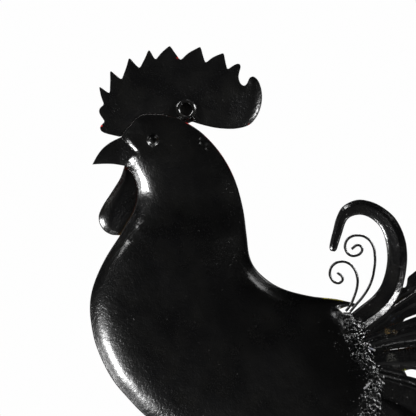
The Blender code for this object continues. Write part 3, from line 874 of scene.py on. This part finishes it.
# %% Sickle feather
CURL_CENTRE = (176, -151.5)
sickle_rim = smooth_rim(rim_of("sickle_feather"), 1.8)
sickle = flat_blank("sickle_channel", sickle_rim, 1.1)
tangent = np.roll(sickle_rim, -1, 0) - sickle_rim
outwards = np.column_stack((tangent[:, 1], -tangent[:, 0]))
if (outwards * (sickle_rim - sickle_rim.mean(0))).sum() < 0:
    outwards = -outwards
outer = (outwards * (sickle_rim - CURL_CENTRE)).sum(1) > 0
welded_end = (sickle_rim[:, 0] < 173.8) & (sickle_rim[:, 1] < -214.4)


def sickle_depth(points):
    """A steep wall along the outer edge, and a long gentle one from the inner edge."""
    outer_wall = 0.68 * soft_distance(points, sickle_rim, outer & ~welded_end)
    from_inner = soft_distance(points, sickle_rim, ~outer & ~welded_end)
    inner_wall = levels_out(from_inner, 0.8, 1.2) + 0.19 * from_inner
    return -0.6 + lesser(outer_wall, inner_wall, 0.25)


press(sickle, sickle_depth)
hammer(sickle, sickle_rim, [("CLOUDS", 14, 0.4), ("VORONOI", 7, 0.08)], 4)
thicken(sickle, SICKLE_PAINT, SICKLE_BLACK, TAIL_EDGE, 0.15)
stands_for(sickle, "tail", "sickle_feather")

# %% [markdown]
# ## Fan feathers
#
# Each feather of the fan is a strip that bends as it goes, folded up along its middle and cut into
# steps along both edges. A flat blank would need very fine quads to follow the steps. Instead a
# grid is laid along the bending line, its rows across the feather, and each row is as wide as the
# feather is there. The relief of the barbs slants from the fold out to each step, as snipped and
# bent sheet does. At the root the strips are grooved, and the grooves are a dull black on both
# sides: painted shade, for the dark shadow lines between the overlapping strips.

# %% Plan of the fan
PLAIN = (0, 0, 0, 1)
# A feather's root, its heading there and at its tip in degrees above +X, its length and half
# width, its front's depth at the root and further out, its width at the root as a share, and the
# shift of its steps. Then, for its upper and lower edge, where the steps start, how much slimmer
# its root is, and from where to where that comes in. Last come its grooves and raised rods, as
# shares of the half width.
FEATHERS = [((176.5, -236), 47, -14, 214, 32, (5, 4.6), 0.31, 0.62,
             PLAIN, (0.3, 0.28, 0.185, 0.225), (0.45, 0.18, -0.25), (0.31,)),
            ((177.5, -246), 20.5, -26, 221, 31, (-0.6, -0.6), 0.36, 0.25,
             (0.27, 0, 0, 1), (0.27, 0.36, -0.1, 0), (0.17,), (-0.33, 0.6)),
            ((186, -258.5), 5, -40, 210, 28, (1, 4), 0.36, 0.3,
             (0.28, 0, 0, 1), (0.28, 0.45, 0.11, 0.2), (-0.2,), ()),
            ((190.5, -276.7), -13, -56, 198, 29, (-0.6, -0.6), 0.52, 0.43,
             (0.28, 0.28, 0.12, 0.14), (0.3, 0, 0, 1), (0.52, 0.22), (0.67, 0.36)),
            ((190, -293), -33, -74, 176, 29, (1, 4), 0.52, 0.3, PLAIN, PLAIN, (), ()),
            ((186, -311), -57, -94, 150, 26, (-0.6, -0.6), 0.4, 0.5, PLAIN, PLAIN, (), ())]
BARBS, ROWS_A_BARB, ACROSS, LINE_STEPS = 9, 12, 44, 400
NOTCHED_TO, WIDEST_FROM = 0.72, 0.55
print(len(FEATHERS), "feathers of", BARBS * ROWS_A_BARB, "rows")

# %% Outline of a feather


def feather_widths(shares, half, at_root, shift):
    """Half the width at each share of the length, and the share of it that the notches leave."""
    width = half * (at_root + (1 - at_root) * smooth_step(shares, 0, 0.6))
    width *= np.sqrt(np.clip(1 - (np.clip(shares - WIDEST_FROM, 0, 1) / 0.46) ** 2, 0, 1))
    phase = (shares * BARBS - shift) % 1
    rising = NOTCHED_TO + 0.28 * smooth_step(phase, 0.1, 0.36)
    return width, np.where(phase < 0.88, rising, 1 - 0.28 * (phase - 0.88) / 0.12)


def feather_line(root, heading, tip_heading, length):
    """The middle line: shares of the length, and the heading, X and Z at each of them."""
    steps = np.linspace(0, 1, LINE_STEPS + 1)
    bends = np.radians(heading + (tip_heading - heading) * steps)
    line_x = root[0] + np.concatenate(((0,), np.cumsum(np.cos(bends)[:-1]))) * length / LINE_STEPS
    line_z = root[1] + np.concatenate(((0,), np.cumsum(np.sin(bends)[:-1]))) * length / LINE_STEPS
    return steps, bends, line_x, line_z


half, at_root, shift = (FEATHERS[0][column] for column in (4, 6, 7))
halfway = feather_widths(0.5, half, at_root, shift)[0]
print("halfway out, feather 1 is", round(float(2 * halfway)), "mm wide")

# %% Fan feathers
FOLD_HEIGHT, FOLD_OPENS, FAN_BACK, LEAST_HALF = 2.4, 0.3, 0.4, 1.2
GROOVE_DEPTH, GROOVE_REACH, ROD_HEIGHT, ROD_REACH = 0.5, 1.6, 1.1, 1.2
ROLL_DEPTH, ROLL_REACH, BARB_HEIGHT, BARB_SLANT = 0.15, 1.1, 0.8, 0.45
# How near a groove in mm, and how far out along the feather as a share, the painted shade reaches.
GROOVE_SHADE_REACH, GROOVE_SHADE_ENDS = 1.9, 0.42


def ridge(off, reach):
    """1 on a line and falling off to both sides, for points that lie off it by so many mm."""
    return np.exp(-((off / reach) ** 2))


def feather(number, root, heading, tip_heading, length, half, layer, at_root, shift,
            upper, lower, grooves, rods):
    """One feather: a grid laid along its bending line, then folded, fluted and thickened."""
    bpy.ops.object.select_all(action="DESELECT")
    bpy.ops.mesh.primitive_grid_add(x_subdivisions=BARBS * ROWS_A_BARB, y_subdivisions=ACROSS,
                                    size=2)
    strip = bpy.context.object
    strip.name = strip.data.name = f"fan_feather_{number}"
    grid = places(strip)
    share, side = (grid[:, 0] + 1) / 2, grid[:, 1]
    steps, bends, line_x, line_z = feather_line(root, heading, tip_heading, length)
    bend = np.interp(share, steps, bends)
    width, left = feather_widths(np.minimum(share, 0.999), half, at_root, shift)
    steps_from, slim, slim_from, slim_to = np.where(side[:, None] < 0, lower, upper).T
    left = 1 - (1 - left) * smooth_step(share, steps_from, steps_from + 0.03)
    left *= 1 - slim * smooth_step(share, slim_from, slim_to) * (1 - smooth_step(share, 0.28, 0.5))
    out = side * np.maximum(width * left, LEAST_HALF)
    x = np.interp(share, steps, line_x) - np.sin(bend) * out
    z = np.interp(share, steps, line_z) + np.cos(bend) * out
    opened = np.clip(share / FOLD_OPENS, 0, 1)
    from_middle = np.abs(side)
    front = layer[0] + (layer[1] - layer[0]) * opened
    fold = FOLD_HEIGHT * opened * (1 - from_middle)
    creases = sum(GROOVE_DEPTH * ridge(out - at * width, GROOVE_REACH) for at in grooves)
    creases = creases - sum(ROD_HEIGHT * ridge(out - at * width, ROD_REACH) for at in rods)
    roll = ROLL_DEPTH * ridge((1 - from_middle) * width * left, ROLL_REACH)
    creases = creases * (1 - smooth_step(share, 0.3, 0.6)) + roll
    phase = (share * BARBS - shift + BARB_SLANT * (1 - from_middle)) % 1
    barbs = BARB_HEIGHT * (phase - 0.5) * smooth_step(from_middle, 0.02, 0.5)
    barbs *= smooth_step(share, 0.14, 0.4)
    put(strip, np.column_stack((x, front + fold + creases + barbs - FAN_BACK, z)) * MM)
    # Faces along the grooves near the root get painted shade: dark lines for the shadows between
    # the strips.
    in_groove_shade = np.zeros(len(grid), bool)
    for at in grooves:
        in_groove_shade |= (np.abs(out - at * width) < GROOVE_SHADE_REACH) & (share < GROOVE_SHADE_ENDS)
    for face in strip.data.polygons:
        face.material_index = GROOVE_SHADE_SLOT if in_groove_shade[list(face.vertices)].sum() > 2 else 0
    only(strip)
    bpy.ops.object.mode_set(mode="EDIT")
    bpy.ops.mesh.select_all(action="SELECT")
    bpy.ops.mesh.normals_make_consistent(inside=False)
    bpy.ops.object.mode_set(mode="OBJECT")
    if sum(p.normal.y for p in strip.data.polygons) < 0:
        strip.data.flip_normals()
    thicken(strip, TAIL_PAINT, TAIL_BLACK, TAIL_EDGE, 0.12)
    stands_for(strip, "tail", f"tail_feather_{number}")
    return strip


fan = [feather(number, *line) for number, line in enumerate(FEATHERS, 1)]

# %% [markdown]
# ## Curled wires
#
# Two wires spring from the weld and curl over. A spin of a circle would give round curls only, and
# these open out as they go. A Bezier curve through a few points with automatic handles gives the
# even sweep of wire wound by hand around a former, and its bevel gives the round section.

# %% Curled wires
CURL_PLANE, CURL_RADIUS = -3.75, 1.35
# The wires' middle lines, as (x, z) in mm.
UPPER_CURL = [(164, -208), (169.6, -201.3), (176.6, -193), (184, -180.5), (188, -165),
              (188.6, -152), (186.2, -141), (180, -134), (172, -131.8), (164.3, -133.5),
              (159.3, -139.5), (159.8, -147), (163.9, -151.5), (169.5, -152), (174.5, -149.3),
              (175.8, -144.8), (172.2, -141.5), (165.3, -145.4)]
LOWER_CURL = [(159.5, -207.5), (163.6, -202.3), (168.3, -192), (171.2, -181), (171, -173.5),
              (167.5, -164.5), (161.5, -159.2), (154.8, -158), (148, -160.6), (143.9, -167),
              (144.9, -174.5), (149.6, -179), (154.6, -178.6), (156.4, -174.5), (151.2, -168.8)]


def bent_rod(name, points, radius, finish):
    """A round rod along (X, Y, Z) points in mm, with capped and rounded ends, as a mesh."""
    bpy.ops.object.select_all(action="DESELECT")
    bpy.ops.curve.primitive_bezier_curve_add()
    rod = bpy.context.object
    rod.name = rod.data.name = name
    spline = rod.data.splines[0]
    spline.bezier_points.add(len(points) - 2)
    for knot, point in zip(spline.bezier_points, points):
        knot.co = Vector(point) * MM
        knot.handle_left_type = knot.handle_right_type = "AUTO"
    spline.resolution_u = 8
    rod.data.bevel_depth = radius * MM
    rod.data.bevel_resolution = 4
    rod.data.use_fill_caps = True
    only(rod)
    bpy.ops.object.convert(target="MESH")
    rod = bpy.context.object
    edge = rod.modifiers.new("rounded ends", "BEVEL")
    edge.width, edge.segments, edge.angle_limit = radius * 0.3 * MM, 2, math.radians(60)
    apply_modifiers(rod)
    rod.data.materials.clear()
    rod.data.materials.append(finish)
    bpy.ops.object.shade_smooth_by_angle(angle=math.radians(45))
    return rod


for name, node, route in (("upper_wire", "upper_curl", UPPER_CURL),
                          ("lower_wire", "lower_curl", LOWER_CURL)):
    wire = bent_rod(name, [(x, CURL_PLANE, z) for x, z in route], CURL_RADIUS, WIRE_BLACK)
    stands_for(wire, "wire", node)

# %% [markdown]
# ## Hanging rings
#
# A ring of thick wire is welded to the back of the comb, and a second one behind the tail. A curve
# with a bevel would do as well, but a torus is closed from the start. Its points are drawn in a
# little at the seam where the wire's ends meet.

# %% Rings
RING_MAJOR, RING_WIRE = 8.1, 2.3
SEAM_WIDTH, SEAM_PINCH = 5, 0.22


def ring(name, node, seam):
    """A wire ring at the CAD ring's place. seam is where its ends meet, in degrees above +X."""
    low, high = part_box(node)
    centre = (low + high) / 2
    bpy.ops.object.select_all(action="DESELECT")
    bpy.ops.mesh.primitive_torus_add(major_radius=RING_MAJOR * MM, minor_radius=RING_WIRE * MM,
                                     major_segments=72, minor_segments=20,
                                     location=centre, rotation=(math.pi / 2, 0, 0))
    made = bpy.context.object
    made.name = made.data.name = name
    bpy.ops.object.transform_apply(location=True, rotation=True, scale=True)
    points = places(made)
    off = points - np.array(centre)
    around = np.degrees(np.arctan2(off[:, 2], off[:, 0]))
    near_seam = np.exp(-(((around - seam + 180) % 360 - 180) / SEAM_WIDTH) ** 2)
    spoke = np.column_stack((np.cos(np.radians(around)), 0 * around, np.sin(np.radians(around))))
    core = np.array(centre) + spoke * RING_MAJOR * MM
    put(made, core + (points - core) * (1 - SEAM_PINCH * near_seam)[:, None])
    made.data.materials.append(RING_BLACK)
    only(made)
    bpy.ops.object.shade_smooth()
    stands_for(made, "wire", node)


ring("head_ring", "hanging_ring", -60)
ring("back_ring", "tail_ring", -80)

# %% [markdown]
# ## Legs and feet
#
# Both are out of the photograph. They are kept plain: a bent rod welded behind each thigh, made
# like the wires, and a foot with four toes cut from sheet, pressed like the other plates and only
# lightly dished.

# %% Legs and feet
# For each leg its hip as (x, z), and how far the ankle lies from it towards the tail, in mm.
LEGS = {"front": ((59, -368), -15), "rear": ((104, -372), 13)}
LEG_PLANE, LEG_ROD, FOOT_PLANE, FOOT_SLOPE = -2.6, 3.5, 2.4, 0.3
for side, (hip, stride) in LEGS.items():
    route = [hip, (hip[0] + 0.4 * stride + 5, hip[1] - 52), (hip[0] + stride, hip[1] - 98)]
    leg = bent_rod(f"{side}_leg_rod", [(x, LEG_PLANE, z) for x, z in route], LEG_ROD, WIRE_BLACK)
    stands_for(leg, "leg", f"{side}_leg")
    foot_rim = smooth_rim(rim_of(f"{side}_foot"), 1.6)
    foot = flat_blank(f"{side}_foot_plate", foot_rim, 1.5)
    press(foot, lambda points: FOOT_PLANE + FOOT_SLOPE * soft_distance(points, foot_rim))
    thicken(foot, LEG_PAINT, SHEET_BLACK, LEG_EDGE)
    stands_for(foot, "leg", f"{side}_foot")

# %% [markdown]
# ## Welds
#
# The tail is held by a thick run of weld, laid in overlapping drops, rough and sprayed glossy
# black. One displaced tube would be too even. So large flat drops are laid along the run and small
# ones are scattered over them, the lot is joined and remeshed into one skin, and noise roughens it.

# %% Tail weld
rng = random.Random(7)
# The run of the weld: (x, z, half its width), in mm.
WELD_LINE = [(157, -211.8, 2.6), (163.5, -212.4, 3), (162.5, -220.5, 10.5), (169.5, -229.5, 14.5),
             (172, -241.5, 13), (175, -250, 12), (181.5, -261.5, 9.5), (191, -271.5, 8.5),
             (188, -281.5, 12), (185, -289, 10), (183.5, -296.5, 12.5), (181.5, -308.5, 13.5),
             (181, -320, 9), (178.5, -329, 4)]
DROPS_A_STRETCH, WELD_BACK, WELD_MOUND, WELD_REARMOST = 52, 1.4, 3.4, -8.2
SKIN_VOXEL, CRUST_SIZE, CRUST_HEIGHT = 0.5, 2.6, 1.7
bpy.ops.object.select_all(action="DESELECT")
bpy.ops.mesh.primitive_ico_sphere_add(subdivisions=2, radius=1)
drop = bpy.context.object


def drops(name, spots):
    """Copies the drop to (x, y, z, radius, flatness) spots in mm and joins the copies."""
    made = []
    for x, y, z, radius, flat in spots:
        copy = drop.copy()
        copy.data = drop.data.copy()
        bpy.context.scene.collection.objects.link(copy)
        copy.location = (x * MM, y * MM, z * MM)
        copy.rotation_euler = (rng.uniform(-0.3, 0.3), rng.uniform(0, 6.3), rng.uniform(-0.3, 0.3))
        stretch_by = rng.uniform(1, 1.5)
        copy.scale = (radius * MM * stretch_by, radius * MM * flat, radius * MM / stretch_by)
        made.append(copy)
    only(*made)
    bpy.ops.object.join()
    joined = bpy.context.object
    bpy.ops.object.transform_apply(location=True, rotation=True, scale=True)
    joined.name = joined.data.name = name
    return joined


spots = [(x, -0.8, z, half * 0.78, 2.4 / half) for x, z, half in WELD_LINE]
for (x0, z0, w0), (x1, z1, w1) in zip(WELD_LINE, WELD_LINE[1:]):
    run = Vector((x1 - x0, z1 - z0)).normalized()
    for _ in range(DROPS_A_STRETCH):
        t, v = rng.random(), max(-1, min(1, rng.gauss(0.05, 0.52)))
        half = w0 + (w1 - w0) * t
        x = x0 + (x1 - x0) * t - run.y * v * half * 0.85
        z = z0 + (z1 - z0) * t + run.x * v * half * 0.85
        y = -WELD_BACK - WELD_MOUND * max(0, 1 - v * v) * rng.random()
        spots.append((x, y, z, rng.uniform(0.6, 1.4 if v < 0 else 2.6), 0.8))
weld = drops("tail_weld_run", spots)
skin = weld.modifiers.new("one skin", "REMESH")
skin.mode, skin.voxel_size = "VOXEL", SKIN_VOXEL * MM
crust = bpy.data.textures.new("weld_crust", "CLOUDS")
crust.noise_scale, crust.noise_depth = CRUST_SIZE * MM, 3
rough = weld.modifiers.new("crust", "DISPLACE")
rough.texture, rough.texture_coords = crust, "LOCAL"
rough.strength, rough.mid_level = CRUST_HEIGHT * MM, 0.5
apply_modifiers(weld)
points = places(weld)
points[:, 1] = np.maximum(points[:, 1], WELD_REARMOST * MM)
put(weld, points)
weld.data.materials.clear()
weld.data.materials.append(WELD_BLACK)
bpy.ops.object.shade_smooth()
stands_for(weld, "weld", "tail_weld")

# %% [markdown]
# ## Wire ends and spatter
#
# Two ends of welding wire stick out of the weld, and small drops of spatter sit on the sheets. A
# depth set by hand leaves some of them floating, which can't be seen from straight behind. So a ray
# is cast at each place, and the piece is seated on the surface that it hits.

# %% Wire ends
STUB_RADIUS, STUB_SINK = 1.0, 0.3
STUBS = [("weld_stub_1", ((177.6, -285.1), (180.9, -282.2), (184, -279.5))),
         ("weld_stub_2", ((182.9, -244.4), (186, -245.6), (189, -246.9)))]


def surface_behind(pieces):
    """A finder of the rearmost surface of the pieces: Y in mm at (x, z) in mm, or None."""
    graph = bpy.context.evaluated_depsgraph_get()
    trees = [BVHTree.FromObject(piece, graph) for piece in pieces]

    def find(x, z):
        hits = [tree.ray_cast((x * MM, -0.1, z * MM), (0, 1, 0))[0] for tree in trees]
        found = [hit.y / MM for hit in hits if hit]
        return min(found) if found else None

    return find


on_weld = surface_behind([weld, body, *fan])
# The wire ends get the pale grey enamel, a painted highlight along them.
for name, line in STUBS:
    found = [on_weld(x, z) for x, z in line]
    rest = min(y for y in found if y is not None) + STUB_SINK
    stands_for(bent_rod(name, [(x, rest, z) for x, z in line], STUB_RADIUS, WIRE_END_HIGHLIGHT), "weld")
    print(name, "rests at", round(rest, 2), "mm")

# %% Spatter
# The seam between the head and the comb, as (x, z) in mm.
CROWN = [(-62, -30), (-54.5, -20.5), (-46, -13), (-36, -10.6), (-21, -11.8), (-8, -15.3),
         (2, -19.5)]
# Dabs of weld that hold the head's ring: (x, z, radius), in mm, all at one depth.
RING_DABS = [(6.4, -13.6, 1.1), (7.5, -15.2, 1.2), (8.5, -16.8, 1.0),
             (-7.2, -14.8, 1.0), (-5, -16, 1.1), (-2.4, -15.8, 1.0)]
DAB_PLANE = 1.4
behind = surface_behind([body, comb, beak, wattle, sickle, *fan])
spots = []


def spatter(x, z, radius, flat=0.6):
    """Notes a drop on the sheet at (x, z), and none where there is no sheet."""
    y = behind(x, z)
    if y is not None:
        spots.append((x, y, z, radius, flat))


for _ in range(60):  # in front of the tail's weld
    i = rng.randrange(len(WELD_LINE) - 1)
    (x0, z0, w0), (x1, z1, w1) = WELD_LINE[i:i + 2]
    t = rng.random()
    out = w0 + abs(rng.gauss(0, 7))
    spatter(x0 + (x1 - x0) * t - out, z0 + (z1 - z0) * t - out * 0.3, rng.uniform(0.3, 0.8))
for _ in range(24):  # over the fan
    spatter(rng.gauss(205, 9), rng.uniform(-300, -230), rng.uniform(0.3, 0.9))
for (x0, z0), (x1, z1) in zip(CROWN, CROWN[1:]):  # along the seam of the crown
    for _ in range(4):
        t = rng.random()
        x, z = x0 + (x1 - x0) * t + rng.gauss(0, 0.7), z0 + (z1 - z0) * t + rng.gauss(0.8, 0.7)
        spatter(x, z, rng.uniform(0.25, 0.5))
for _ in range(40):  # over the front of the comb
    spatter(rng.uniform(-76, -10), rng.gauss(-6, 5), rng.uniform(0.2, 0.45))
spots += [(x, DAB_PLANE, z, radius, 1.0) for x, z, radius in RING_DABS]
splash = drops("weld_spatter", spots)
splash.data.materials.append(WELD_BLACK)
bpy.ops.object.shade_smooth()
stands_for(splash, "weld")
bpy.data.objects.remove(drop)

# %% [markdown]
# ## Floor and sizes
#
# A pale floor lies below, too low to reach the photograph's frame. A plane is enough, because
# nothing stands on it. At the end, how far this model's box lies beyond the CAD model's box is
# printed, in mm.

# %% Floor
FLOOR_Z, FLOOR_SIZE, FLOOR_ROUGHNESS = -0.57, 4, 0.7
bpy.ops.object.select_all(action="DESELECT")
bpy.ops.mesh.primitive_plane_add(size=FLOOR_SIZE, location=(0.05, 0, FLOOR_Z))
floor = bpy.context.object
floor.name = "pale_floor"
bpy.ops.object.transform_apply(location=True, rotation=True, scale=True)
floor_paint, tree, place, shader = new_material("pale_floor")
pale = mixed(tree, noise(tree, place, 3), (0.78, 0.78, 0.77, 1), (0.83, 0.83, 0.82, 1))
tree.links.new(pale, shader.inputs["Base Color"])
shader.inputs["Roughness"].default_value = FLOOR_ROUGHNESS
floor.data.materials.append(floor_paint)
floor.visible_glossy = False
floor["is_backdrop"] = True
print("floor at", floor.data.vertices[0].co.z)

# %% Print the sizes
low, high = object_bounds()
beyond = [round((a - b) * 1000, 2) for a, b in zip([*low, *high], [*cad_low, *cad_high])]
print("visual minus CAD box in mm:", beyond)
